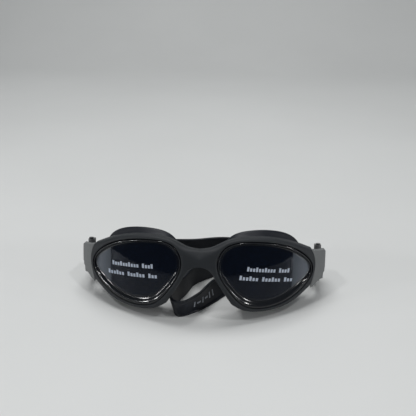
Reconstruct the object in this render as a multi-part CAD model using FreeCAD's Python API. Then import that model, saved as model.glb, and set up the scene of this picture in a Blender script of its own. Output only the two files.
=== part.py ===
"""Swimming goggles with a soft one-piece front, standing on a table with the strap folded behind.

Two frames are used, both in millimetres, with X to the right as seen from the front:
- the goggle frame: Y back towards the face, Z up along the lenses, origin at the front of the bridge;
- the table frame, which is the part's own: the goggles lean back by LEAN, and the lowest point is Z = 0.
Everything but the folded strap is modelled in the goggle frame and then leant back.
"""

import math
import os

import FreeCAD, Part
from FreeCAD import Vector

# Driving dimensions, millimetres and degrees.
LEAN = 14.0  # the goggles lean back by this when they stand
EYE_X, EYE_Z = 44.0, 1.0  # middle of an eye as seen from the front
WRAP_R = 108.0  # sphere that the whole front follows
FRAME_INNER_R = 101.5
CARRIER_FRONT_R = 107.5
CARRIER_BACK_R = 101.5
LENS_FRONT_R = 105.5
LENS_T = 2.0
FILM_GAP = 0.10
FILM_T = 0.2
FILM_SHRINK = 0.965
SEAL_FRONT_R = 101.4
SEAL_FLANGE_R = 100.2
SEAL_STATIONS = 26
SEAL_WALL = 1.6
SEAL_FLANGE_W = 2.8
SEAL_LIP = 5.0
SEAL_LIP_T = 1.3
NOSE_PAD_INNER_R = 97.0
ARM_INNER_R = 105.0
ARM_STEP = 0.6  # the arm's lower part is this much thinner than the block above it
ARM_STEP_X, ARM_STEP_Z = 80.4, -1.8
STRAP_W = 15.8
STRAP_T = 2.0
STRAP_Z = -1.5  # height of the strap's middle at the buckle, goggle frame
HINGE_X, HINGE_Y = 82.4, 49.0  # buckle hinge axis, parallel to Z of the goggle frame
PIN_R = 1.0
KNUCKLE_R = 2.2
RUNNING = 0.05  # radial clearance of a running fit
PLAY = 0.3  # end play between knuckles
BARREL_LOW, BARREL_HIGH = -9.8, 9.2
KNUCKLE_LOW, KNUCKLE_HIGH = -12.6, 13.4
BUCKLE_HALF = 9.6
BAR_U, BAR_V, BAR_R = 6.8, -0.8, 1.1  # strap bar: along and across the buckle, from the hinge
LOOP_R = 1.1  # inside radius of the strap's turn round the bar
PLATE_V0, PLATE_V1 = 2.8, 4.6
PLATE_U0, PLATE_U1 = 3.4, 17.5
WINDOW_U0, WINDOW_U1, WINDOW_HALF = 7.2, 16.0, 4.3  # the lever's window in the plate
LUG_U = 4.4  # how far the knuckle lugs run back
WEB_U = 9.0  # how far the side webs run back, past the bar
SLOT_HALF = STRAP_W / 2 + 0.2  # half of the width left for the strap
LEVER_U, LEVER_V, LEVER_PIN_R = 11.6, 3.7, 0.5
LEVER_PIN_HALF = 6.3
LEVER_HALF = 4.0
# The lever seen from above: biting edge in front, raised pad behind (u, v).
LEVER_PROFILE = [
    (7.6, 2.75), (8.4, 2.75), (8.6, 3.0), (10.4, 3.0), (12.6, 3.1), (15.6, 3.9), (15.6, 5.0),
    (14.9, 6.3), (12.6, 6.1), (11.4, 4.7), (7.6, 4.5),
]
STRAP_END_U = 20.0
STRAP_TAIL_U = 18.6
STRAP_JOIN_GAP = 0.6
FLOOR_Z = -33.6  # height of the table in the leant frame before the final shift
BBOX_MID_Y = 39.2  # the final shift puts the middle of the outline on Y = 0

# Outlines as seen from the front, right eye, goggle frame X and Z.
CARRIER_OUTLINE = [
    (11.7, 10.5), (16.4, 19.6), (30.5, 23.2), (50.0, 21.1), (69.5, 12.2), (77.2, 0.2),
    (66.8, -14.6), (49.0, -22.1), (30.5, -20.1), (19.4, -8.6),
]
LENS_OUTLINE = [
    (14.0, 11.0), (18.6, 18.0), (32.0, 20.9), (50.0, 18.4), (68.2, 9.6), (75.6, 0.8),
    (66.5, -8.2), (50.5, -16.3), (31.5, -14.6), (20.6, -4.6),
]
FRAME_TOP = [(0.0, 18.0), (7.0, 19.1), (17.0, 23.4), (33.0, 25.8), (50.0, 23.9), (66.0, 18.5), (76.0, 13.4)]
FRAME_SEAM = [(76.0, 13.4), (78.4, 7.6), (79.1, 1.6), (78.3, -4.2), (76.4, -10.6)]
FRAME_BOTTOM = [(76.4, -10.6), (68.5, -17.9), (54.5, -23.9), (40.0, -25.2), (29.0, -23.2), (21.5, -18.6)]
FRAME_ARCH = [(21.5, -18.6), (16.6, -11.0), (10.8, -1.4), (5.4, 5.4), (0.0, 7.4)]
ARM_OUTLINE_BACK = [(76.0, 13.4), (80.0, 12.2), (86.2, 11.4), (87.4, 10.2), (87.3, -4.6), (83.4, -9.6), (76.4, -13.8)]

NOSE_PAD = [(-9.0, 18.0), (0.0, 17.0), (9.0, 18.0), (10.9, 8.0), (7.4, 3.8), (0.0, 8.8), (-7.4, 3.8), (-10.9, 8.0)]
ARM_NECK = [(76.4, 37.0), (80.2, 49.0), (84.6, 49.0), (86.4, 44.0)]  # X and Y, from the plate to the barrel

# Rear edge of the face seal, right eye, goggle frame (X, Z, Y).
SEAL_REAR = [
    (13.8, 12.4, 22.4), (19.6, 22.8, 22.2), (33.0, 26.9, 23.0), (49.0, 26.0, 28.4), (61.2, 21.6, 36.0),
    (68.8, 13.4, 42.6), (70.2, 0.0, 45.4), (64.2, -15.2, 40.8), (50.0, -25.2, 31.8), (38.4, -27.4, 27.6),
    (29.8, -24.0, 25.4), (23.4, -13.0, 24.0), (17.2, 0.0, 23.0),
]

# Route of the folded strap in the leant frame: X, Y and the height of the strap's middle above the table.
# It starts at the left buckle, crosses behind the bridge, folds behind the right eye, comes out
# through the nose arch, folds again and ends at the right buckle.
STRAP_HIGH = [
    (-75.0, 74.0, 14.9), (-66.0, 78.0, 14.8), (-50.0, 75.4, 16.2), (-34.0, 66.0, 20.4), (-18.0, 57.2, 25.0),
    (-4.0, 54.0, 27.4), (9.0, 56.2, 28.0), (21.0, 60.0, 26.0), (33.0, 63.0, 22.4), (43.6, 63.4, 18.4),
    (50.4, 59.6, 14.4), (50.0, 53.4, 11.4), (42.6, 49.8, 9.4), (33.6, 48.0, 8.5),
]
# The length that stands on the table: X, Y of its middle and its roll, degrees, away from the viewer.
STRAP_FLOOR = [
    (25.6, 45.4, 8.0), (19.0, 41.4, 16.0), (13.6, 35.4, 20.0), (8.8, 28.2, 16.0), (4.0, 20.4, 5.0),
    (-0.5, 13.8, -6.0), (-6.0, 8.4, -14.0), (-10.6, 5.0, -19.0), (-14.6, 4.6, -19.0), (-17.3, 7.0, -15.0),
    (-18.4, 11.6, -10.0), (-18.0, 18.6, -5.0), (-15.8, 27.0, -2.0), (-11.4, 36.6, 0.0), (-8.2, 46.0, 0.0),
    (-1.4, 54.2, 0.0), (7.2, 60.8, 0.0), (18.0, 65.4, 0.0),
]
STRAP_RISE = [(31.0, 68.4, 8.0), (46.0, 71.6, 9.0), (59.0, 74.6, 11.0), (68.6, 76.0, 13.4), (75.0, 73.6, 14.8)]

LEAN_RAD = math.radians(LEAN)
SIDES = (("right", 1.0), ("left", -1.0))
OUT = "parts"
os.makedirs(OUT, exist_ok=True)


# ---------------------------------------------------------------- helpers

def lean_point(p):
    """A goggle-frame point in the leant frame, before the final shift."""
    c, s = math.cos(LEAN_RAD), math.sin(LEAN_RAD)
    return Vector(p.x, p.y * c + p.z * s, p.z * c - p.y * s)


def stand(shape):
    """Leans a goggle-frame shape back and puts it on the table."""
    shape = shape.copy()
    shape.rotate(Vector(0, 0, 0), Vector(1, 0, 0), -LEAN)
    return place(shape)


def place(shape):
    """Shifts a leant-frame shape so that the table is Z = 0 and the outline is centred."""
    shape = shape.copy()
    shape.translate(Vector(0, -BBOX_MID_Y, -FLOOR_Z))
    return shape


def mirrored(shape, side):
    return shape if side > 0 else shape.mirror(Vector(0, 0, 0), Vector(1, 0, 0))


def save(name, shape):
    shape.exportStep(os.path.join(OUT, name + ".step"))


def spline(points, closed=False):
    curve = Part.BSplineCurve()
    curve.interpolate(Points=points, PeriodicFlag=closed)
    return curve


def spline_edge(points, closed=False):
    return spline(points, closed).toShape()


def front_vectors(outline):
    """Outline points on the plane Y = 0 of the goggle frame."""
    return [Vector(x, 0, z) for x, z in outline]


def closed_outline(outline, shrink=1.0):
    """A closed smooth wire on the plane Y = 0, optionally drawn in towards the middle of the eye."""
    points = [(EYE_X + (x - EYE_X) * shrink, EYE_Z + (z - EYE_Z) * shrink) for x, z in outline]
    return Part.Wire(spline_edge(front_vectors(points), closed=True))


def prism(wire, depth=80.0, start=-6.0):
    """Solid made by pushing a front outline straight back."""
    face = Part.Face(wire)
    face.translate(Vector(0, start, 0))
    return face.extrude(Vector(0, depth, 0))


def wrap_shell(outer_r, inner_r):
    """Spherical shell that the front follows, centred behind the bridge."""
    centre = Vector(0, WRAP_R, 0)
    return Part.makeSphere(outer_r, centre).cut(Part.makeSphere(inner_r, centre))


def wrap_y(x, z, r):
    return WRAP_R - math.sqrt(r * r - x * x - z * z)


def upright(r, x, y, z0, z1):
    """Cylinder parallel to Z of the goggle frame."""
    return Part.makeCylinder(r, z1 - z0, Vector(x, y, z0))


def block(x0, x1, y0, y1, z0, z1):
    return Part.makeBox(x1 - x0, y1 - y0, z1 - z0, Vector(x0, y0, z0))


def solid_from(faces):
    """Closed solid from its faces, turned the right way out."""
    shell = Part.makeShell(faces)
    shell.sewShape()
    solid = Part.makeSolid(shell)
    if solid.Volume < 0:
        shell.reverse()
        solid = Part.makeSolid(shell)
    return solid


def ring_solid(rings):
    """Closed tube-like solid: each ring is one corner of its section, as points round the eye."""
    edges = [spline_edge(r, closed=True) for r in rings]
    return solid_from([Part.makeRuledSurface(edges[i - 1], edges[i], 1) for i in range(len(edges))])


def ribbon(corners):
    """Solid between four corner curves, each a list of points, with flat ends."""
    edges = [spline_edge(c) for c in corners]
    faces = [Part.makeRuledSurface(edges[i - 1], edges[i], 1) for i in range(4)]
    for end in (0, -1):
        loop = [c[end] for c in corners]
        faces.append(Part.Face(Part.makePolygon(loop + [loop[0]])))
    return solid_from(faces)


# ---------------------------------------------------------------- front

def frame_wire():
    """Outer outline of the one-piece front: two brows, the bridge and the nose arch."""
    def mirror(points):
        return [(-x, z) for x, z in reversed(points)]
    top = mirror(FRAME_TOP)[:-1] + FRAME_TOP
    arch = FRAME_ARCH[:-1] + mirror(FRAME_ARCH)
    runs = [top, FRAME_SEAM, FRAME_BOTTOM, arch, mirror(FRAME_BOTTOM), mirror(FRAME_SEAM)]
    return Part.Wire([spline_edge(front_vectors(r)) for r in runs])


def make_front_frame():
    solid = prism(frame_wire()).common(wrap_shell(WRAP_R, FRAME_INNER_R))
    opening = prism(closed_outline(CARRIER_OUTLINE))
    return solid.cut(opening).cut(mirrored(opening, -1))


def make_lens_carrier():
    ring = prism(closed_outline(CARRIER_OUTLINE)).cut(prism(closed_outline(LENS_OUTLINE)))
    return ring.common(wrap_shell(CARRIER_FRONT_R, CARRIER_BACK_R))


def make_lens():
    return prism(closed_outline(LENS_OUTLINE)).common(wrap_shell(LENS_FRONT_R, LENS_FRONT_R - LENS_T))


def make_lens_film():
    inner = LENS_FRONT_R + FILM_GAP
    return prism(closed_outline(LENS_OUTLINE, FILM_SHRINK)).common(wrap_shell(inner + FILM_T, inner))


def make_face_seal():
    """Flared soft skirt: flange behind the carrier, wall, and a lip turned inwards for the face."""
    front = spline([Vector(x, 0, z) for x, z in CARRIER_OUTLINE], closed=True)
    rear = spline([Vector(x, y, z) for x, z, y in SEAL_REAR], closed=True)
    middle = Vector(EYE_X, 0.0, EYE_Z)
    back = Vector(0, 1, 0)
    rings = [[] for _ in range(8)]
    for i in range(SEAL_STATIONS):
        angle = 2 * math.pi * i / SEAL_STATIONS
        f = at_angle(front, middle, angle)
        r = at_angle(rear, middle, angle)
        to_middle = Vector(middle.x - f.x, 0, middle.z - f.z).normalize()
        to_middle_rear = Vector(middle.x - r.x, 0, middle.z - r.z).normalize()

        def on_wrap(inset, radius):
            p = f + to_middle * inset
            return Vector(p.x, wrap_y(p.x, p.z, radius), p.z)

        section = [
            on_wrap(0.2, SEAL_FRONT_R), on_wrap(0.2, SEAL_FLANGE_R), on_wrap(1.0, SEAL_FLANGE_R), r,
            r + to_middle_rear * SEAL_LIP + back,
            r + to_middle_rear * (SEAL_LIP - 0.2) + back * (1.0 - SEAL_LIP_T),
            r + to_middle_rear * (SEAL_WALL + 0.3) - back * (SEAL_LIP_T + 0.2),
            on_wrap(SEAL_FLANGE_W, SEAL_FRONT_R),
        ]
        for ring, corner in zip(rings, section):
            ring.append(corner)
    return ring_solid(rings)


def at_angle(curve, middle, angle):
    """The curve's point whose direction from the middle, seen from the front, is at this angle."""
    first, span = curve.FirstParameter, curve.LastParameter - curve.FirstParameter
    steps = 720
    best, best_gap = None, 9.0
    for k in range(steps):
        p = curve.value(first + span * k / steps)
        gap = math.atan2(p.z - middle.z, p.x - middle.x) - angle
        gap = abs((gap + math.pi) % (2 * math.pi) - math.pi)
        if gap < best_gap:
            best, best_gap = p, gap
    return best


def make_nose_pad():
    """Soft pad behind the bridge, between the two seals."""
    wire = Part.makePolygon(front_vectors(NOSE_PAD + NOSE_PAD[:1]))
    return prism(wire).common(wrap_shell(FRAME_INNER_R, NOSE_PAD_INNER_R))


# ---------------------------------------------------------------- side arm and buckle, right side

def make_side_arm():
    """Moulded arm that carries on the front's curve and ends in the hinge barrel."""
    seam = spline_edge(front_vectors(FRAME_SEAM))
    foot = Part.makeLine(*front_vectors([FRAME_SEAM[-1], ARM_OUTLINE_BACK[-1]]))
    back = Part.makePolygon(front_vectors(ARM_OUTLINE_BACK))
    outline = Part.Wire(Part.__sortEdges__([seam, foot] + back.Edges))
    plate = prism(outline).common(wrap_shell(WRAP_R, ARM_INNER_R))
    lower = block(ARM_STEP_X, HINGE_X + 20, 0, HINGE_Y, BARREL_LOW * 2, ARM_STEP_Z)
    plate = plate.cut(lower.cut(Part.makeSphere(WRAP_R - ARM_STEP, Vector(0, WRAP_R, 0))))
    neck_points = [Vector(x, y, BARREL_LOW) for x, y in ARM_NECK + ARM_NECK[:1]]
    neck = Part.Face(Part.makePolygon(neck_points)).extrude(Vector(0, 0, BARREL_HIGH - BARREL_LOW))
    neck = neck.common(Part.makeSphere(WRAP_R - ARM_STEP, Vector(0, WRAP_R, 0))).cut(prism(frame_wire()))
    arm = plate.fuse(neck).fuse(upright(KNUCKLE_R, HINGE_X, HINGE_Y, BARREL_LOW, BARREL_HIGH))
    for z0, z1 in ((BARREL_HIGH, BARREL_HIGH + 8), (BARREL_LOW - 8, BARREL_LOW)):
        arm = arm.cut(upright(KNUCKLE_R + PLAY, HINGE_X, HINGE_Y, z0, z1))
    return arm.cut(upright(PIN_R, HINGE_X, HINGE_Y, BARREL_LOW - 1, BARREL_HIGH + 1)).removeSplitter()


def make_buckle_pin():
    """Pin pressed into the arm's barrel, with a small head on top."""
    shaft = upright(PIN_R, HINGE_X, HINGE_Y, KNUCKLE_LOW, KNUCKLE_HIGH + 0.2)
    head = upright(PIN_R + 0.6, HINGE_X, HINGE_Y, KNUCKLE_HIGH + 0.1, KNUCKLE_HIGH + 1.1)
    return shaft.fuse(head).removeSplitter()


def local_block(u0, u1, v0, v1, z0, z1):
    """Box in buckle terms: u back from the hinge, v outwards, z from the strap's middle."""
    return block(HINGE_X + v0, HINGE_X + v1, HINGE_Y + u0, HINGE_Y + u1, STRAP_Z + z0, STRAP_Z + z1)


def make_strap_buckle():
    """Buckle: knuckles on the pin, outer plate with the lever's window, and the bar that the strap turns round."""
    half = BUCKLE_HALF
    body = local_block(PLATE_U0, PLATE_U1, PLATE_V0, PLATE_V1, -half, half)
    body = body.cut(local_block(WINDOW_U0, WINDOW_U1, PLATE_V0 - 1, PLATE_V1 + 1, -WINDOW_HALF, WINDOW_HALF))
    for sign, barrel, knuckle in ((1, BARREL_HIGH, KNUCKLE_HIGH), (-1, BARREL_LOW, KNUCKLE_LOW)):
        z0, z1 = sorted((barrel + sign * PLAY, knuckle))
        body = body.fuse(upright(KNUCKLE_R, HINGE_X, HINGE_Y, z0, z1))
        body = body.fuse(local_block(0.0, LUG_U, -KNUCKLE_R, KNUCKLE_R, z0 - STRAP_Z, z1 - STRAP_Z))
        post0, post1 = sorted((sign * SLOT_HALF, knuckle - STRAP_Z))
        body = body.fuse(local_block(KNUCKLE_R + PLAY, LUG_U, -KNUCKLE_R, KNUCKLE_R, post0, post1))
        web0, web1 = sorted((sign * SLOT_HALF, sign * half))
        body = body.fuse(local_block(KNUCKLE_R + PLAY, WEB_U, -KNUCKLE_R, PLATE_V1, web0, web1))
    body = body.fuse(upright(BAR_R, HINGE_X + BAR_V, HINGE_Y + BAR_U, STRAP_Z - half, STRAP_Z + half))
    body = body.cut(upright(PIN_R + RUNNING, HINGE_X, HINGE_Y, KNUCKLE_LOW - 1, KNUCKLE_HIGH + 1))
    return body.cut(make_lever_pin()).removeSplitter()


def make_lever_pin():
    low, high = STRAP_Z - LEVER_PIN_HALF, STRAP_Z + LEVER_PIN_HALF
    return upright(LEVER_PIN_R, HINGE_X + LEVER_V, HINGE_Y + LEVER_U, low, high)


def make_lock_lever():
    """Rocker: its front edge bites the strap, and pressing the raised rear pad lifts the bite."""
    points = [Vector(HINGE_X + v, HINGE_Y + u, STRAP_Z - LEVER_HALF) for u, v in LEVER_PROFILE]
    lever = Part.Face(Part.makePolygon(points + points[:1])).extrude(Vector(0, 0, 2 * LEVER_HALF))
    x, y = HINGE_X + LEVER_V, HINGE_Y + LEVER_U
    bore = upright(LEVER_PIN_R + RUNNING, x, y, STRAP_Z - LEVER_HALF - 1, STRAP_Z + LEVER_HALF + 1)
    return lever.cut(bore)


def make_strap_end():
    """End of the strap: in along the inner side, round the bar, and back out as a short tail."""
    x, y = HINGE_X + BAR_V, HINGE_Y + BAR_U
    z0 = STRAP_Z - STRAP_W / 2
    r0, r1 = LOOP_R, LOOP_R + STRAP_T
    join_y, tail_y = HINGE_Y + STRAP_END_U, HINGE_Y + STRAP_TAIL_U

    def half_turn(r, first, last):
        return Part.Arc(Vector(x + first * r, y, z0), Vector(x, y - r, z0), Vector(x + last * r, y, z0)).toShape()

    edges = [
        Part.makeLine(Vector(x - r1, join_y, z0), Vector(x - r1, y, z0)),
        half_turn(r1, -1, 1),
        Part.makeLine(Vector(x + r1, y, z0), Vector(x + r1, tail_y, z0)),
        Part.makeLine(Vector(x + r1, tail_y, z0), Vector(x + r0, tail_y, z0)),
        Part.makeLine(Vector(x + r0, tail_y, z0), Vector(x + r0, y, z0)),
        half_turn(r0, 1, -1),
        Part.makeLine(Vector(x - r0, y, z0), Vector(x - r0, join_y, z0)),
        Part.makeLine(Vector(x - r0, join_y, z0), Vector(x - r1, join_y, z0)),
    ]
    return Part.Face(Part.Wire(edges)).extrude(Vector(0, 0, STRAP_W))


# ---------------------------------------------------------------- folded strap

def strap_start(side):
    """Where the folded strap meets its end on the buckle, in the leant frame, and its way back from there."""
    x = HINGE_X + BAR_V - LOOP_R - STRAP_T / 2
    y = HINGE_Y + STRAP_END_U + STRAP_JOIN_GAP
    here = lean_point(Vector(side * x, y, STRAP_Z))
    return here, lean_point(Vector(side * x, y + 1, STRAP_Z)) - here


def strap_route():
    """Middle of the folded strap from left to right, with its roll at each point."""
    route = [(Vector(x, y, FLOOR_Z + h), 0.0) for x, y, h in STRAP_HIGH]
    for x, y, roll in STRAP_FLOOR:
        rise = STRAP_W / 2 * math.cos(math.radians(roll)) - 0.1
        route.append((Vector(x, y, FLOOR_Z + rise), roll))
    route += [(Vector(x, y, FLOOR_Z + h), 0.0) for x, y, h in STRAP_RISE]
    left, left_way = strap_start(-1)
    right, right_way = strap_start(1)
    return [(left, 0.0), (left + left_way * 2, 0.0)] + route + [(right + right_way * 2, 0.0), (right, 0.0)]


def strap_corner_curves():
    """The four corner curves of the strap's section, and the section's corners at each point of the route."""
    route = strap_route()
    middle = spline([p for p, _ in route])
    ways = [middle.tangent(middle.parameter(p))[0] for p, _ in route]
    ways[:2] = [strap_start(-1)[1]] * 2
    ways[-2:] = [strap_start(1)[1] * -1] * 2
    corners = []
    for (p, roll), along in zip(route, ways):
        across = along.cross(Vector(0, 0, 1)).normalize()
        up = across.cross(along).normalize()
        turn = math.radians(roll)
        up, across = up * math.cos(turn) + across * math.sin(turn), across * math.cos(turn) - up * math.sin(turn)
        w, t = up * (STRAP_W / 2), across * (STRAP_T / 2)
        corners.append((p + w + t, p + w - t, p - w - t, p - w + t))
    return [spline([c[k] for c in corners]) for k in range(4)], corners


def make_head_strap():
    """One band in three touching lengths; the middle one stands on the table."""
    curves, corners = strap_corner_curves()
    first = 2 + len(STRAP_HIGH)
    last = first + len(STRAP_FLOOR) - 1

    def length(low, high):
        points = []
        for k, curve in enumerate(curves):
            t0 = curve.parameter(corners[low][k])
            t1 = curve.parameter(corners[high][k])
            n = 3 * (high - low)
            points.append([curve.value(t0 + (t1 - t0) * i / n) for i in range(n + 1)])
        return ribbon(points)

    above = Part.makeBox(400, 400, 200, Vector(-200, -200, FLOOR_Z))
    lengths = [length(0, first), length(first, last), length(last, len(corners) - 1)]
    return Part.makeCompound([piece.common(above) for piece in lengths])


# ---------------------------------------------------------------- build

def build():
    shapes = {"front_frame": stand(make_front_frame()), "nose_pad": stand(make_nose_pad())}
    makers = {
        "lens_carrier": make_lens_carrier, "lens": make_lens, "lens_film": make_lens_film,
        "face_seal": make_face_seal, "side_arm": make_side_arm, "buckle_pin": make_buckle_pin,
        "strap_buckle": make_strap_buckle, "lever_pin": make_lever_pin, "lock_lever": make_lock_lever,
        "strap_end": make_strap_end,
    }
    for name, maker in makers.items():
        shape = maker()
        for word, side in SIDES:
            shapes[name + "_" + word] = stand(mirrored(shape, side))
    shapes["head_strap"] = place(make_head_strap())
    for name, shape in shapes.items():
        save(name, shape)
    return shapes


for name, shape in build().items():
    print("%-20s solids %d valid %s volume %.1f" % (name, len(shape.Solids), shape.isValid(), shape.Volume))
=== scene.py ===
"""Looks of the swimming goggles: soft front, glossy bezels, smoked lenses, seals, strap, table and light.

Shapes are worked out in millimetres in the goggle frame (X right, Y back towards the face, Z up along
the lenses, origin at the front of the bridge) and then leant back and set on the table like the CAD.
"""

import math

import bmesh
import bpy
import numpy as np
from mathutils import Matrix, Vector


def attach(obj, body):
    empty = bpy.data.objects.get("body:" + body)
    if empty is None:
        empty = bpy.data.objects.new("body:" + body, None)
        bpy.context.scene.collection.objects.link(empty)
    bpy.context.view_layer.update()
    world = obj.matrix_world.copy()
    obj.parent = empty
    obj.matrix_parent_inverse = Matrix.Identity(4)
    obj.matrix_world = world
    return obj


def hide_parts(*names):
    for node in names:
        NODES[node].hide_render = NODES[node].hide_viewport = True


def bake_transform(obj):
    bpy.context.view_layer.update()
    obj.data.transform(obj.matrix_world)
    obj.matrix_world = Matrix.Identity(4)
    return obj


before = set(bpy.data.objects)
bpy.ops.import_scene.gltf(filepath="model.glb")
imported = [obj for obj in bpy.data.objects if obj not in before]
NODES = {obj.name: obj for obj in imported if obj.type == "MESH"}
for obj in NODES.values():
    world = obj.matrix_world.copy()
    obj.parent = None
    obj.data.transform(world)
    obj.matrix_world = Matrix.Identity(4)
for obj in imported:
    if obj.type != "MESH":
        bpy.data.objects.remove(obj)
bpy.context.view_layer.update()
SIDES = (("right", 1.0), ("left", -1.0))

# ---------------------------------------------------------------- sizes, millimetres and degrees

LEAN = math.radians(14.0)
TABLE_DROP = 33.6  # the bridge stands this far above the table
BACK_SHIFT = 39.2  # the row's Y = 0 is this far behind the bridge
EYE = np.array([44.0, 1.0])  # middle of the right eye, X and Z
WRAP_R = 108.0
FRAME_BACK_R = 101.5
RIM_R = 107.5
CARRIER_BACK_R = 101.6
LENS_R = 105.5
LENS_T = 2.0
FILM_R = 105.68
SEAL_FRONT_R = 101.3
SEAL_FLANGE_R = 100.2
STRAP_W = 15.8
STRAP_T = 2.0
STRAP_Z = -1.5
HINGE_X, HINGE_Y = 82.4, 49.0
BAR_U, BAR_V = 6.8, -0.8
LOOP_R = 1.1  # inside radius of the strap's turn round the bar
STRAP_END_U = 20.0
STRAP_TAIL_U = 18.6
STRAP_JOIN_GAP = 0.6
STRAP_RIM = 1.5  # plain edge left round the sunk panel
PANEL_DEPTH = 0.5
PANEL_TO_HAIRPIN = 9.0  # the panel stops this far before the hairpin
PANEL_START = 40.0  # and begins this far along the strap
RIGHT_BAND = 90.0  # length of the band piece at the right buckle's end
FILM_SHRINK = 0.962
LAMP_SIZE, LAMP_POWER = (0.08, 0.055), 1.2
CEILING_SIZE, CEILING_POWER = (0.9, 0.6), 12.0
CAMERA_PLACE = (0.02314, -0.35043, 0.21801)
CAMERA_YAW, CAMERA_DOWN, CAMERA_ROLL = 3.165, 23.35, 0.18

# Outlines as seen from the front, right eye, X and Z.
CARRIER_OUTLINE = [
    (11.7, 10.5), (16.4, 19.6), (30.5, 23.2), (50.0, 21.1), (69.5, 12.2), (77.2, 0.2),
    (66.8, -14.6), (49.0, -22.1), (30.5, -20.1), (19.4, -8.6),
]
LENS_OUTLINE = [
    (14.0, 11.0), (18.6, 18.0), (32.0, 20.9), (50.0, 18.4), (68.2, 9.6), (75.6, 0.8),
    (66.5, -8.2), (50.5, -16.3), (31.5, -14.6), (20.6, -4.6),
]
FRAME_TOP = [(0.0, 18.0), (7.0, 19.1), (17.0, 23.4), (33.0, 25.8), (50.0, 23.9), (66.0, 18.5), (76.0, 13.4)]
FRAME_SEAM = [(76.0, 13.4), (78.4, 7.6), (79.1, 1.6), (78.3, -4.2), (76.4, -10.6)]
FRAME_BOTTOM = [(76.4, -10.6), (68.5, -17.9), (54.5, -23.9), (40.0, -25.2), (29.0, -23.2), (21.5, -18.6)]
FRAME_ARCH = [(21.5, -18.6), (16.6, -11.0), (10.8, -1.4), (5.4, 5.4), (0.0, 7.4)]
NOSE_PAD = [
    (-9.0, 17.8), (0.0, 17.0), (9.0, 17.8), (10.9, 8.4), (7.4, 4.2), (0.0, 8.8), (-7.4, 4.2), (-10.9, 8.4),
]
NOSE_PAD_FRONT_R = 101.4
NOSE_PAD_MIDDLE = np.array([0.0, 12.0])
# The pad's domed back: share of its outline's size, and radius.
NOSE_PAD_DOME = [
    (1.0, 99.6), (0.985, 98.7), (0.94, 97.9), (0.85, 97.35),
    (0.7, 97.05), (0.45, 97.0), (0.2, 97.0), (0.001, 97.0),
]
# Rear edge of the face seal: X, Z and Y.
SEAL_REAR = [
    (13.8, 12.6, 22.4), (19.6, 23.4, 22.2), (33.0, 28.0, 23.0), (49.0, 27.4, 28.4), (61.0, 23.0, 36.0),
    (68.4, 14.6, 42.6), (69.8, 0.4, 45.4), (64.2, -15.2, 40.8), (50.0, -25.2, 31.8), (38.4, -27.4, 27.6),
    (29.8, -24.0, 25.4), (23.4, -13.0, 24.0), (17.2, 0.0, 23.0),
]
# Route of the folded strap, leant frame: X, Y and the middle's height above the table.
STRAP_HIGH = [
    (-75.0, 74.0, 14.9), (-66.0, 78.0, 14.8), (-50.0, 75.4, 16.2), (-34.0, 66.0, 20.4), (-18.0, 57.2, 25.0),
    (-4.0, 54.0, 27.4), (9.0, 56.2, 28.0), (21.0, 60.0, 26.0), (33.0, 63.0, 22.4), (43.6, 63.4, 18.4),
    (50.4, 59.6, 14.4), (50.0, 53.4, 11.4), (42.6, 49.8, 9.4), (33.6, 48.0, 8.5),
]
# The length that stands on the table: X, Y and roll in degrees.
STRAP_FLOOR = [
    (25.6, 45.4, 8.0), (19.0, 41.4, 16.0), (13.6, 35.4, 20.0), (8.8, 28.2, 16.0), (4.0, 20.4, 5.0),
    (-0.5, 13.8, -6.0), (-6.0, 8.4, -14.0), (-10.6, 5.0, -19.0), (-14.6, 4.6, -19.0), (-17.3, 7.0, -15.0),
    (-18.4, 11.6, -10.0), (-18.0, 18.6, -5.0), (-15.8, 27.0, -2.0), (-11.4, 36.6, 0.0), (-8.2, 46.0, 0.0),
    (-1.4, 54.2, 0.0), (7.2, 60.8, 0.0), (18.0, 65.4, 0.0),
]
# The length that rises to the right buckle: X, Y and the middle's height above the table.
STRAP_RISE = [
    (31.0, 68.4, 8.0), (46.0, 71.6, 9.0), (59.0, 74.6, 11.0), (68.6, 76.0, 13.4), (75.0, 73.6, 14.8),
]


# ---------------------------------------------------------------- geometry helpers

def lean(points):
    """Goggle-frame points in the leant frame."""
    p = np.asarray(points, float)
    c, s = math.cos(LEAN), math.sin(LEAN)
    return np.stack([p[..., 0], p[..., 1] * c + p[..., 2] * s, p[..., 2] * c - p[..., 1] * s], -1)


def place(points):
    """Leant-frame points, in millimetres, in the row's frame, in metres."""
    return (np.asarray(points) + [0.0, -BACK_SHIFT, TABLE_DROP]) * 0.001


def stand(points):
    return place(lean(points))


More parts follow.
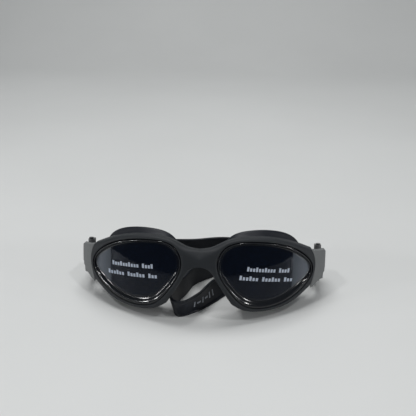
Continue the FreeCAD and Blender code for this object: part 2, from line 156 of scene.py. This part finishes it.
class Spline:
    """Cubic spline through points, by chord length, closed or with free ends."""

    def __init__(self, points, closed=False):
        p = np.asarray(points, float)
        if closed:
            p = np.vstack([p, p[:1]])
        self.p = p
        h = np.linalg.norm(np.diff(p, axis=0), axis=1)
        self.t = np.concatenate([[0.0], np.cumsum(h)])
        n = len(p)
        a = np.zeros((n, n))
        b = np.zeros_like(p)
        slope = np.diff(p, axis=0) / h[:, None]
        for i in range(1, n - 1):
            a[i, i - 1], a[i, i], a[i, i + 1] = h[i - 1], 2 * (h[i - 1] + h[i]), h[i]
            b[i] = 6 * (slope[i] - slope[i - 1])
        if closed:
            a[0, 0], a[0, n - 1] = 1.0, -1.0
            a[n - 1, 0], a[n - 1, 1] = 2 * (h[0] + h[-1]), h[0]
            a[n - 1, n - 2] = h[-1]
            b[n - 1] = 6 * (slope[0] - slope[-1])
        else:
            a[0, 0] = a[n - 1, n - 1] = 1.0
        self.m = np.linalg.solve(a, b)

    def at(self, t):
        t = np.clip(np.asarray(t, float), 0.0, self.t[-1])
        i = np.clip(np.searchsorted(self.t, t, side="right") - 1, 0, len(self.t) - 2)
        h = (self.t[i + 1] - self.t[i])[..., None]
        u = (self.t[i + 1] - t)[..., None]
        v = (t - self.t[i])[..., None]
        p0, p1, m0, m1 = self.p[i], self.p[i + 1], self.m[i], self.m[i + 1]
        return (m0 * u ** 3 + m1 * v ** 3) / (6 * h) + (p0 / h - m0 * h / 6) * u + (p1 / h - m1 * h / 6) * v

    def sample(self, count):
        return self.at(np.linspace(0.0, self.t[-1], count))


def by_angle(outline, angles):
    """A closed outline's points in the given directions from the middle of the eye."""
    p = Spline(outline, closed=True).sample(1600)[:-1]
    a = np.arctan2(p[:, 1] - EYE[1], p[:, 0] - EYE[0])
    order = np.argsort(a)
    a, p = a[order], p[order]
    a = np.concatenate([a - 2 * math.pi, a, a + 2 * math.pi])
    p = np.vstack([p, p, p])
    return np.stack([np.interp(angles, a, p[:, k]) for k in range(p.shape[1])], -1)


def on_wrap(xz, r):
    """Points of the front's sphere of radius r that show at these X and Z."""
    x, z = xz[..., 0], xz[..., 1]
    return np.stack([x, WRAP_R - np.sqrt(r * r - x * x - z * z), z], -1)


def smooth(x, low, high):
    u = np.clip((np.asarray(x, float) - low) / (high - low), 0.0, 1.0)
    return u * u * (3 - 2 * u)


def edge_drop(d, width, depth):
    """How far a rounded edge falls away at a distance d from the edge."""
    u = 1 - np.clip(d / width, 0.0, 1.0)
    return depth * (1 - np.sqrt(np.clip(1 - u * u, 0.0, 1.0)))


def grid_faces(rows, columns, closed_rows=False, closed_columns=False):
    faces = []
    for i in range(rows if closed_rows else rows - 1):
        for j in range(columns if closed_columns else columns - 1):
            i1, j1 = (i + 1) % rows, (j + 1) % columns
            faces.append((i * columns + j, i1 * columns + j, i1 * columns + j1, i * columns + j1))
    return faces


def make_object(name, points, faces, material, sharp=50.0, merge=True):
    """Mesh object from points in metres, smooth except at edges sharper than the angle."""
    mesh = bpy.data.meshes.new(name)
    mesh.from_pydata([tuple(p) for p in np.asarray(points).reshape(-1, 3)], [], faces)
    bm = bmesh.new()
    bm.from_mesh(mesh)
    if merge:
        bmesh.ops.remove_doubles(bm, verts=bm.verts, dist=1e-6)
    bmesh.ops.recalc_face_normals(bm, faces=bm.faces)
    bm.to_mesh(mesh)
    bm.free()
    for polygon in mesh.polygons:
        polygon.use_smooth = True
    mesh.set_sharp_from_angle(angle=math.radians(sharp))
    mesh.materials.append(material)
    obj = bpy.data.objects.new(name, mesh)
    bpy.context.scene.collection.objects.link(obj)
    return obj


def loft(name, rings, material, side=1.0, closed_section=True, sharp=50.0):
    """Skin over closed rings in the goggle frame; each ring is one point of the section, all round."""
    p = np.stack(rings, 0) * [side, 1.0, 1.0]
    faces = grid_faces(p.shape[0], p.shape[1], closed_rows=closed_section, closed_columns=True)
    return make_object(name, stand(p), faces, material, sharp)


# ---------------------------------------------------------------- materials

def new_material(name):
    material = bpy.data.materials.new(name)
    material.use_nodes = True
    nodes = material.node_tree.nodes
    return material, nodes, material.node_tree.links, nodes["Principled BSDF"]


def moulded(name, dark, light, rough, grain, bump, coat=0.0, patch=60.0, specular=0.5, rough_range=0.08):
    """Moulded surface: slow colour drift, fine grain in the bump and uneven gloss."""
    material, nodes, links, shader = new_material(name)
    coords = nodes.new("ShaderNodeTexCoord")
    drift = nodes.new("ShaderNodeTexNoise")
    drift.inputs["Scale"].default_value = patch
    drift.inputs["Detail"].default_value = 5.0
    ramp = nodes.new("ShaderNodeValToRGB")
    ramp.color_ramp.elements[0].position = 0.3
    ramp.color_ramp.elements[1].position = 0.72
    ramp.color_ramp.elements[0].color = (*dark, 1.0)
    ramp.color_ramp.elements[1].color = (*light, 1.0)
    fine = nodes.new("ShaderNodeTexNoise")
    fine.inputs["Scale"].default_value = grain
    fine.inputs["Detail"].default_value = 3.0
    spread = nodes.new("ShaderNodeMapRange")
    spread.inputs["To Min"].default_value = rough - rough_range
    spread.inputs["To Max"].default_value = rough + rough_range
    relief = nodes.new("ShaderNodeBump")
    relief.inputs["Strength"].default_value = bump
    relief.inputs["Distance"].default_value = 0.0002
    links.new(coords.outputs["Object"], drift.inputs["Vector"])
    links.new(coords.outputs["Object"], fine.inputs["Vector"])
    links.new(drift.outputs["Fac"], ramp.inputs["Fac"])
    links.new(ramp.outputs["Color"], shader.inputs["Base Color"])
    links.new(drift.outputs["Fac"], spread.inputs["Value"])
    links.new(spread.outputs["Result"], shader.inputs["Roughness"])
    links.new(fine.outputs["Fac"], relief.inputs["Height"])
    links.new(relief.outputs["Normal"], shader.inputs["Normal"])
    shader.inputs["Coat Weight"].default_value = coat
    shader.inputs["Coat Roughness"].default_value = 0.08
    shader.inputs["Specular IOR Level"].default_value = specular
    return material


def smoked_lens():
    """Dark smoke tint, with a painted reflection: light grey towards the temple, standing in for the bright
    room mirrored in the lens's outer part.
    """
    material, nodes, links, shader = new_material("lens_smoke")
    coords = nodes.new("ShaderNodeTexCoord")
    split = nodes.new("ShaderNodeSeparateXYZ")
    size = nodes.new("ShaderNodeMath")
    size.operation = "ABSOLUTE"
    ramp = nodes.new("ShaderNodeValToRGB")
    ramp.color_ramp.elements[0].position = 0.618
    ramp.color_ramp.elements[0].color = (0.0015, 0.0035, 0.009, 1.0)
    ramp.color_ramp.elements[1].position = 0.76
    ramp.color_ramp.elements[1].color = (0.21, 0.222, 0.238, 1.0)
    # From |X| of about 62 mm outward the colour is a painted reflection of the bright room, not the lens's
    # own tint.
    reflection_start = ramp.color_ramp.elements.new(0.626)
    reflection_start.color = (0.08, 0.088, 0.098, 1.0)
    scale = nodes.new("ShaderNodeMath")
    scale.operation = "MULTIPLY"
    scale.inputs[1].default_value = 10.0
    links.new(coords.outputs["Object"], split.inputs["Vector"])
    links.new(split.outputs["X"], size.inputs[0])
    links.new(size.outputs["Value"], scale.inputs[0])
    links.new(scale.outputs["Value"], ramp.inputs["Fac"])
    links.new(ramp.outputs["Color"], shader.inputs["Base Color"])
    shader.inputs["Roughness"].default_value = 0.07
    shader.inputs["Specular IOR Level"].default_value = 0.26
    return material


def clear_film():
    """Thin clear film over the lens, whose faint tint drifts slowly."""
    material, nodes, links, shader = new_material("film_clear")
    coords = nodes.new("ShaderNodeTexCoord")
    waves = nodes.new("ShaderNodeTexNoise")
    waves.inputs["Scale"].default_value = 45.0
    waves.inputs["Detail"].default_value = 2.0
    ramp = nodes.new("ShaderNodeValToRGB")
    ramp.color_ramp.elements[0].color = (0.78, 0.80, 0.84, 1.0)
    ramp.color_ramp.elements[1].color = (0.90, 0.92, 0.95, 1.0)
    clear = nodes.new("ShaderNodeBsdfTransparent")
    output = nodes["Material Output"]
    links.new(coords.outputs["Object"], waves.inputs["Vector"])
    links.new(waves.outputs["Fac"], ramp.inputs["Fac"])
    links.new(ramp.outputs["Color"], clear.inputs["Color"])
    links.new(clear.outputs["BSDF"], output.inputs["Surface"])
    nodes.remove(shader)
    return material


FRAME_SKIN = moulded("frame_soft_touch", (0.013, 0.0155, 0.0185), (0.019, 0.022, 0.026),
                     0.58, 2600.0, 0.35, specular=0.3)
BEZEL = moulded("bezel_gloss", (0.002, 0.003, 0.005), (0.005, 0.006, 0.009),
                0.12, 900.0, 0.03, specular=0.45, rough_range=0.03)
LENS = smoked_lens()
FILM = clear_film()
PRINT = moulded("film_marks", (0.36, 0.41, 0.50), (0.48, 0.53, 0.62), 0.5, 1800.0, 0.1)
SEAL = moulded("seal_silicone", (0.005, 0.007, 0.012), (0.010, 0.012, 0.018),
               0.5, 1800.0, 0.2, specular=0.28)
ARM = moulded("arm_grey", (0.115, 0.122, 0.124), (0.145, 0.152, 0.154), 0.5, 2200.0, 0.45)
BUCKLE = moulded("buckle_grey", (0.085, 0.088, 0.092), (0.115, 0.118, 0.122), 0.42, 2000.0, 0.3)
LEVER = moulded("lever_black", (0.012, 0.013, 0.016), (0.022, 0.023, 0.026), 0.3, 1500.0, 0.15, coat=0.2)
PIN = moulded("pin_black", (0.02, 0.021, 0.023), (0.04, 0.041, 0.043), 0.3, 1200.0, 0.1)
STRAP = moulded("strap_silicone", (0.007, 0.009, 0.013), (0.012, 0.014, 0.019),
                0.48, 1600.0, 0.2, specular=0.25)
STRAP_PANEL = moulded("strap_panel", (0.0025, 0.0045, 0.010), (0.005, 0.007, 0.013),
                      0.34, 1600.0, 0.1, specular=0.2)
STRAP_PRINT = moulded("strap_marks", (0.22, 0.24, 0.28), (0.32, 0.34, 0.38), 0.5, 1500.0, 0.1)
TABLE = moulded("table_white", (0.62, 0.63, 0.625), (0.66, 0.67, 0.665), 0.55, 300.0, 0.05, patch=3.0)


# ---------------------------------------------------------------- front frame

def frame_boundary():
    """Outer boundary of the right half of the frame, and how round its edge is at each point."""
    runs = ((FRAME_TOP, 90, 1.0), (FRAME_SEAM, 26, 0.0), (FRAME_BOTTOM, 64, 1.0), (FRAME_ARCH, 56, 1.0))
    points, roundness = [], []
    for outline, count, value in runs:
        p = Spline(outline).sample(count)
        points.append(p[:-1])
        ease = np.full(count - 1, value)
        if value == 1.0 and outline is FRAME_TOP:
            ease *= 1 - smooth(np.arange(count - 1), count - 12, count - 1)
        if value == 1.0 and outline is FRAME_BOTTOM:
            ease *= smooth(np.arange(count - 1), 0, 10)
        roundness.append(ease)
    middle = np.linspace(FRAME_ARCH[-1], FRAME_TOP[0], 14)[:-1]
    points.append(middle)
    roundness.append(np.full(len(middle), -1.0))
    return np.vstack(points), np.concatenate(roundness)


def saddle(x, z):
    """The bridge's soft crease: above the V between the brows the surface leans back."""
    crease = 12.6 + 0.45 * np.abs(x)
    above = np.logaddexp(0.0, (z - crease) / 0.55) * 0.55
    return np.minimum(above * 0.42, 2.4) * (1 - smooth(np.abs(x), 9.0, 20.0))


def build_frame():
    outer, roundness = frame_boundary()
    angles = np.arctan2(outer[:, 1] - EYE[1], outer[:, 0] - EYE[0])
    inner = by_angle(CARRIER_OUTLINE, angles)
    span = np.linalg.norm(outer - inner, axis=1)
    fit = np.minimum(1.0, span / 5.2)
    near = [0.0, 0.08, 0.2, 0.4, 0.7, 1.0, 1.35]
    far = [2.9, 2.2, 1.6, 1.1, 0.7, 0.38, 0.16, 0.04, 0.0]
    places = [d * fit / span for d in near]
    low, high = near[-1] * fit / span, 1 - far[0] * fit / span
    places += [low + (high - low) * k / 7 for k in range(1, 7)]
    places += [1 - d * fit / span for d in far]
    rings = [on_wrap(inner, FRAME_BACK_R), on_wrap(inner, RIM_R - 1.6)]
    round_edge = np.clip(roundness, 0.0, 1.0)
    seam_edge = (roundness == 0.0) * 1.0
    for t in places:
        xz = inner + (outer - inner) * t[:, None]
        d_in, d_out = t * span / fit, (1 - t) * span / fit
        r = WRAP_R - edge_drop(d_in, 1.3, 1.3)
        r = r - edge_drop(d_out, 2.9, 2.5) * round_edge - edge_drop(d_out, 0.5, 0.4) * seam_edge
        r = r - saddle(xz[:, 0], xz[:, 1]) * smooth(d_in, 0.4, 4.0)
        rings.append(on_wrap(xz, r))
    rings.append(on_wrap(outer, FRAME_BACK_R))
    half = np.stack(rings, 0)
    rows, columns = half.shape[:2]
    faces = []
    for i in range(rows):
        for j in range(columns):
            i1, j1 = (i + 1) % rows, (j + 1) % columns
            corners_x = half[[i, i1, i, i1], [j, j, j1, j1], 0]
            # no wall where the right half meets its mirror image
            if i >= rows - 2 and np.abs(corners_x).sum() < 1e-3:
                continue
            faces.append((i * columns + j, i1 * columns + j, i1 * columns + j1, i * columns + j1))
    count = rows * columns
    both = np.vstack([half.reshape(-1, 3), half.reshape(-1, 3) * [-1.0, 1.0, 1.0]])
    faces += [tuple(count + k for k in reversed(f)) for f in faces]
    piece = make_object("front_frame_skin", stand(both), faces, FRAME_SKIN, 60.0)
    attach(piece, "goggles")
    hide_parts("front_frame")


# ---------------------------------------------------------------- bezels, lenses and films

STATIONS = 240
ROUND = np.arange(STATIONS) * 2 * math.pi / STATIONS


def build_carrier(word, side):
    """Glossy bezel: a narrow raised rim, then a slope down to the lens, wide along the lower edge."""
    outer, inner = by_angle(CARRIER_OUTLINE, ROUND), by_angle(LENS_OUTLINE, ROUND)
    width = np.linalg.norm(outer - inner, axis=1)
    rim = 0.85 + 0.08 * width

    def ring(d, r):
        t = d / width
        return on_wrap(outer + (inner - outer) * t[:, None], r)

    edge = 0.75
    rings = [ring(0.03 + 0 * width, CARRIER_BACK_R), ring(0.03 + 0 * width, RIM_R - 1.6)]
    for k in (0.0, 0.25, 0.5, 0.75, 1.0):
        rings.append(ring(0.03 + edge * k, RIM_R - edge_drop(k, 1.0, 1.0)))
    for k in np.linspace(0.0, 1.0, 12)[1:]:
        d = 0.03 + edge + (width - 0.05 - edge) * k
        fall = smooth(d, rim, width * 0.98) * 0.75 + np.clip((d - rim) / (width - rim), 0, 1) * 0.25
        rings.append(ring(d, RIM_R - (RIM_R - LENS_R + 0.05) * fall))
    rings.append(ring(width - 0.02, CARRIER_BACK_R + 0.4))
    piece = loft("bezel_" + word, rings, BEZEL, side, sharp=55.0)
    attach(piece, "goggles")
    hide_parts("lens_carrier_" + word)


def dish(name, outline_xz, r_front, r_back, material, side, levels=14):
    """Curved plate on the front's sphere: front face, edge and back face."""
    rings = []
    for r, order in ((r_back, range(levels + 1)), (r_front, range(levels, -1, -1))):
        for k in order:
            t = max(k / levels, 1e-4)
            rings.append(on_wrap(EYE + (outline_xz - EYE) * t, r))
    return loft(name, rings, material, side, sharp=40.0)


def build_lens(word, side):
    edge = EYE + (by_angle(LENS_OUTLINE, ROUND) - EYE) * 0.999
    piece = dish("smoke_lens_" + word, edge, LENS_R, LENS_R - LENS_T, LENS, side)
    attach(piece, "goggles")
    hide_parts("lens_" + word)


# Rows of marks on the film: word lengths, then first and last X and Z as seen from the front.
MARK_ROWS = {
    "left": (((10, 4), (-60.7, 3.2), (-30.2, 4.9)), ((6, 6, 3), (-64.0, -3.4), (-27.3, -1.4))),
    "right": (((10, 4), (31.2, 5.0), (60.4, 1.2)), ((6, 6, 3), (26.3, -0.6), (62.7, -5.4))),
}
MARK_TALL = (1, 0, 0, 1, 0, 0, 1, 0, 0, 0)


def film_marks(word):
    """Two rows of plain little bars on the film, grouped unevenly, with no lettering."""
    points, faces = [], []
    for words, first, last in MARK_ROWS[word]:
        first, last = np.array(first), np.array(last)
        slots = sum(words) + len(words) - 1
        way = (last - first) / slots
        up = np.array([-way[1], way[0]]) / np.linalg.norm(way)
        place_no = 0
        for length in words:
            for k in range(length):
                height = 2.9 if MARK_TALL[k] else 2.1
                start = first + way * place_no
                corners = [start, start + way * 0.70, start + way * 0.70 + up * height, start + up * height]
                base = len(points)
                for r in (FILM_R + 0.02, FILM_R + 0.07):
                    points += [on_wrap(c - up * 1.0, r) for c in corners]
                faces += [tuple(base + n for n in f) for f in (
                    (0, 1, 2, 3), (7, 6, 5, 4), (0, 4, 5, 1), (1, 5, 6, 2), (2, 6, 7, 3), (3, 7, 4, 0))]
                place_no += 1
            place_no += 1
    return make_object("film_marks_" + word, stand(np.array(points)), faces, PRINT, 30.0)


def build_film(word, side):
    """Film as one curved sheet, and the marks printed on it."""
    edge = EYE + (by_angle(LENS_OUTLINE, ROUND) - EYE) * FILM_SHRINK
    rings = [on_wrap(EYE + (edge - EYE) * max(k / 14, 1e-4), FILM_R) for k in range(15)]
    film = loft("film_sheet_" + word, rings, FILM, side, closed_section=False)
    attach(film, "film_" + word)
    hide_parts("lens_film_" + word)
    marks = film_marks(word)
    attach(marks, "film_" + word)


# ---------------------------------------------------------------- face seals

def build_seal(word, side):
    """Flared silicone skirt: flange under the bezel, curved wall, and a rolled lip for the face."""
    front, rear = by_angle(CARRIER_OUTLINE, ROUND), by_angle(SEAL_REAR, ROUND)
    to_mid = EYE - front
    to_mid /= np.linalg.norm(to_mid, axis=1)[:, None]
    to_mid_rear = EYE - rear[:, :2]
    to_mid_rear /= np.linalg.norm(to_mid_rear, axis=1)[:, None]

    def wrapped(inset, r):
        return on_wrap(front + to_mid * inset, r)

    def behind(inset, back):
        p = rear[:, :2] + to_mid_rear * inset
        return np.stack([p[:, 0], rear[:, 2] + back, p[:, 1]], -1)

    def wall(start, end, count, bow):
        """Rings between two rings, bowed in towards the middle of the eye."""
        inward = np.stack([to_mid[:, 0], 0 * ROUND, to_mid[:, 1]], -1)
        return [start + (end - start) * t + inward * bow * math.sin(math.pi * t)
                for t in np.linspace(0, 1, count + 2)[1:-1]]

    flange, heel = wrapped(0.9, SEAL_FLANGE_R), behind(0.35, -0.9)
    rings = [wrapped(0.25, SEAL_FRONT_R), wrapped(0.25, SEAL_FLANGE_R), flange]
    rings += wall(flange, heel, 6, 0.9)
    rings += [heel, behind(0.05, -0.35), behind(0.1, 0.15), behind(0.5, 0.6), behind(1.2, 0.85)]
    rings += [behind(2.6, 0.98), behind(4.0, 0.98), behind(4.75, 0.7), behind(4.9, 0.3), behind(4.6, -0.05)]
    inner_heel = behind(2.2, -1.2)
    rings += [behind(3.4, -0.6), inner_heel]
    rings += wall(inner_heel, wrapped(2.6, SEAL_FRONT_R - 0.6), 6, 0.9)
    rings += [wrapped(2.6, SEAL_FRONT_R - 0.6), wrapped(2.6, SEAL_FRONT_R)]
    piece = loft("silicone_seal_" + word, rings, SEAL, side, sharp=70.0)
    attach(piece, "goggles")
    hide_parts("face_seal_" + word)


# ---------------------------------------------------------------- nose pad

def build_nose_pad():
    """Soft saddle inside the bridge, domed towards the nose."""
    ring = Spline(NOSE_PAD, closed=True).sample(97)[:-1]
    spokes = ring - NOSE_PAD_MIDDLE
    rings = [on_wrap(ring, NOSE_PAD_FRONT_R)]
    rings += [on_wrap(NOSE_PAD_MIDDLE + spokes * t, r) for t, r in NOSE_PAD_DOME]
    rings.append(on_wrap(NOSE_PAD_MIDDLE + spokes * NOSE_PAD_DOME[-1][0], NOSE_PAD_FRONT_R))
    piece = loft("nose_saddle", rings, SEAL, 1.0, sharp=60.0)
    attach(piece, "goggles")
    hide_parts("nose_pad")


# ---------------------------------------------------------------- strap

def buckle_run(side):
    """The strap's path in a buckle, goggle frame: tail, turn round the bar, way back to the fold."""
    x, y = HINGE_X + BAR_V, HINGE_Y + BAR_U
    r = LOOP_R + STRAP_T / 2
    tail = [(x + r, yy) for yy in np.arange(HINGE_Y + STRAP_TAIL_U, y, -0.9)]
    turn = [(x + r * math.cos(a), y - r * math.sin(a)) for a in np.linspace(0, math.pi, 15)]
    end = HINGE_Y + STRAP_END_U + STRAP_JOIN_GAP
    back = [(x - r, yy) for yy in np.linspace(y, end, 18)[1:-1]]
    return np.array([(side * px, py, STRAP_Z) for px, py in tail + turn + back])


def strap_path():
    """Middle, up and outward directions all along the strap, leant frame, left tail to right tail."""
    end_y = HINGE_Y + STRAP_END_U + STRAP_JOIN_GAP
    x = HINGE_X + BAR_V - LOOP_R - STRAP_T / 2
    starts = {s: lean(np.array([[s * x, end_y, STRAP_Z], [s * x, end_y + 2, STRAP_Z]])) for s in (-1, 1)}
    route = [(*p, 0.0) for p in starts[-1]]
    route += [(px, py, h - TABLE_DROP, 0.0) for px, py, h in STRAP_HIGH]
    for px, py, roll in STRAP_FLOOR:
        route.append((px, py, STRAP_W / 2 * math.cos(math.radians(roll)) - 0.1 - TABLE_DROP, roll))
    route += [(px, py, h - TABLE_DROP, 0.0) for px, py, h in STRAP_RISE]
    route += [(*p, 0.0) for p in starts[1][::-1]]
    route = np.array(route)
    middle = Spline(route[:, :3])
    t = np.linspace(0.0, middle.t[-1], 620)
    points = middle.at(t)
    roll = np.radians(np.interp(t, middle.t, route[:, 3]))
    along = np.gradient(points, axis=0)
    along /= np.linalg.norm(along, axis=1)[:, None]
    across = np.cross(along, [0, 0, 1.0])
    across /= np.linalg.norm(across, axis=1)[:, None]
    up = np.cross(across, along)
    c, s = np.cos(roll)[:, None], np.sin(roll)[:, None]
    up, across = up * c + across * s, across * c - up * s
    runs = [(points, up, across)]
    lean_up = lean(np.array([0.0, 0.0, 1.0]))
    for side in (-1, 1):
        p = lean(buckle_run(side))
        if side > 0:
            p = p[::-1]
        way = np.gradient(p, axis=0)
        way /= np.linalg.norm(way, axis=1)[:, None]
        ups = np.tile(lean_up, (len(p), 1))
        run = (p, ups, np.cross(way, ups))
        runs = [run] + runs if side < 0 else runs + [run]
    return [np.vstack([r[k] for r in runs]) for k in range(3)]


def lowest_on_floor(points, cost, most_y):
    """Index of the lowest cost among the points low over the table and no further back than most_y."""
    elsewhere = (points[:, 1] > most_y) | (points[:, 2] > -20)
    return np.argmin(np.where(elsewhere, np.inf, cost))


def build_strap():
    """The whole strap with its sunk panel, as two bands split near the right buckle."""
    points, up, across = strap_path()
    length = np.concatenate([[0.0], np.cumsum(np.linalg.norm(np.diff(points, axis=0), axis=1))])
    panel_end = length[lowest_on_floor(points, points[:, 0], 20)] - PANEL_TO_HAIRPIN
    half = STRAP_W / 2
    edge = [-half + d for d in (0.0, 0.12, 0.4, 0.9, 1.35, 1.6, 1.9, 2.3, 3.5)] + [-2.0]
    lateral = np.array(edge + [0.0] + [-v for v in reversed(edge)])
    outer_t = -(STRAP_T / 2 - edge_drop(half - np.abs(lateral), 0.5, 0.75))
    inner_t = STRAP_T / 2 - edge_drop(half - np.abs(lateral), 0.6, 0.75)
    recess = half - STRAP_RIM
    past = np.maximum(length - (panel_end - recess), 0.0)
    inside = recess - np.sqrt(past[:, None] ** 2 + lateral[None, :] ** 2)
    sunk = PANEL_DEPTH * smooth(inside, -0.15, 0.45) * (length[:, None] > PANEL_START)
    front = outer_t[None, :] + sunk
    back = np.tile(inner_t[::-1], (len(points), 1))
    section_t = np.concatenate([front, back], 1)
    section_w = np.concatenate([lateral, lateral[::-1]])
    mesh_points = points[:, None, :] + up[:, None, :] * section_w[None, :, None]
    mesh_points = mesh_points + across[:, None, :] * section_t[:, :, None]
    mesh_points[..., 2] = np.maximum(mesh_points[..., 2], -TABLE_DROP)
    split = int(np.argmin(np.abs(length - (length[-1] - RIGHT_BAND))))
    for word, low, high in (("left", 0, split + 1), ("right", split, len(points))):
        part = mesh_points[low:high]
        rows, columns = part.shape[:2]
        faces = grid_faces(rows, columns, closed_columns=True)
        faces += [tuple(range(columns)), tuple((rows - 1) * columns + k for k in reversed(range(columns)))]
        piece = make_object("strap_band_" + word, place(part), faces, STRAP, 45.0, merge=False)
        piece.data.materials.append(STRAP_PANEL)
        in_panel = sunk[low:high - 1, :-1] + sunk[low + 1:high, 1:] > PANEL_DEPTH
        for i, j in zip(*np.nonzero(in_panel)):
            piece.data.polygons[int(i) * columns + int(j)].material_index = 1
        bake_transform(piece)
        if word == "left":
            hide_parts("strap_end_left", "head_strap")
        else:
            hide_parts("strap_end_right")
    build_strap_marks(points, up, across, length)


def build_strap_marks(points, up, across, length):
    """A short row of plain bars and dots on the outer face, with no lettering."""
    start = length[lowest_on_floor(points, np.abs(points[:, 0] + 3.6), 30)]
    verts, faces = [], []
    for k, (w, h) in enumerate(((1.0, 4.6), (3.2, 1.4), (1.0, 4.6), (3.2, 1.4), (1.0, 4.6), (1.0, 4.6))):
        middle = start - k * 3.9
        grid = []
        for s in (-w / 2, w / 2):
            here = middle + s
            p, u, a = (
                np.array([np.interp(here, length, q[:, c]) for c in range(3)])
                for q in (points, up, across)
            )
            grid.append([p + u * v - a * t for v in (-h / 2, h / 2) for t in (0.45, 0.58)])
        base = len(verts)
        verts += grid[0] + grid[1]
        faces += [tuple(base + n for n in f) for f in (
            (0, 1, 3, 2), (4, 6, 7, 5), (0, 4, 5, 1), (2, 3, 7, 6), (1, 5, 7, 3), (0, 2, 6, 4))]
    piece = make_object("strap_marks", place(np.array(verts)), faces, STRAP_PRINT, 30.0)
    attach(piece, "goggles")


# ---------------------------------------------------------------- CAD nodes that stay

def refine(name, material, bevel):
    """Rounds a CAD node's edges a little and gives it its material."""
    node = NODES[name]
    node.data.materials.clear()
    node.data.materials.append(material)
    weld = node.modifiers.new("weld", "WELD")
    weld.merge_threshold = 1e-6
    rounding = node.modifiers.new("bevel", "BEVEL")
    rounding.width = bevel * 0.001
    rounding.segments = 3
    rounding.limit_method = "ANGLE"
    rounding.angle_limit = math.radians(35)
    rounding.harden_normals = False
    node.modifiers.new("normals", "WEIGHTED_NORMAL")


def build_hardware():
    for word, _ in SIDES:
        refine("side_arm_" + word, ARM, 0.18)
        refine("strap_buckle_" + word, BUCKLE, 0.15)
        refine("buckle_pin_" + word, PIN, 0.2)
        refine("lever_pin_" + word, PIN, 0.08)
        refine("lock_lever_" + word, LEVER, 0.2)


# ---------------------------------------------------------------- table, light and camera

def build_stage():
    """Pale table that curves up into a plain backdrop."""
    profile = [(-1.4, 0.0), (0.9, 0.0)]
    curve = np.linspace(0, math.pi / 2, 16)[1:]
    profile += [(0.9 + 0.5 * math.sin(a), 0.5 - 0.5 * math.cos(a)) for a in curve]
    profile += [(1.4, 2.2)]
    points = [[(x, y, z) for y, z in profile] for x in (-2.2, 2.2)]
    table = make_object("table", np.array(points), grid_faces(2, len(profile)), TABLE, 80.0)


def area_light(name, place_m, target, size, power, color=(1.0, 1.0, 1.0)):
    data = bpy.data.lights.new(name, "AREA")
    data.shape = "RECTANGLE"
    data.size, data.size_y = size
    data.energy = power
    data.color = color
    light = bpy.data.objects.new(name, data)
    light.location = place_m
    light.rotation_euler = (Vector(target) - Vector(place_m)).to_track_quat("-Z", "Y").to_euler()
    bpy.context.scene.collection.objects.link(light)


# Small lamps round the room, whose reflections sparkle in the glossy bezels.
LAMPS = [
    (-0.98, -0.47, 0.36), (-1.08, -0.28, 0.20), (0.98, -0.47, 0.36), (1.08, -0.28, 0.20),
    (-0.40, -0.30, 0.80), (0.34, -0.30, 0.80),
]


def build_light():
    world = bpy.data.worlds.new("studio")
    world.use_nodes = True
    world.node_tree.nodes["Background"].inputs["Color"].default_value = (0.93, 0.97, 1.0, 1.0)
    world.node_tree.nodes["Background"].inputs["Strength"].default_value = 0.16
    bpy.context.scene.world = world
    area_light("ceiling", (-0.1, 0.35, 1.4), (0, 0.1, 0), CEILING_SIZE, CEILING_POWER)
    for number, spot in enumerate(LAMPS):
        area_light("lamp_%d" % number, spot, (0, 0, 0), LAMP_SIZE, LAMP_POWER)


def build_camera():
    data = bpy.data.cameras.new("camera")
    data.sensor_width = 36.0
    data.lens = 48.35
    data.clip_start = 0.01
    camera = bpy.data.objects.new("camera", data)
    turn = Matrix.Rotation(math.radians(CAMERA_YAW), 4, "Z")
    tilt = Matrix.Rotation(math.radians(90 - CAMERA_DOWN), 4, "X")
    roll = Matrix.Rotation(math.radians(CAMERA_ROLL), 4, "Z")
    camera.matrix_world = Matrix.Translation(CAMERA_PLACE) @ turn @ tilt @ roll
    bpy.context.scene.collection.objects.link(camera)
    bpy.context.scene.camera = camera


build_frame()
for side_word, side_sign in SIDES:
    build_carrier(side_word, side_sign)
    build_lens(side_word, side_sign)
    build_film(side_word, side_sign)
    build_seal(side_word, side_sign)
build_nose_pad()
build_strap()
build_hardware()
build_stage()
build_light()
build_camera()
bpy.context.scene.view_settings.view_transform = "Standard"
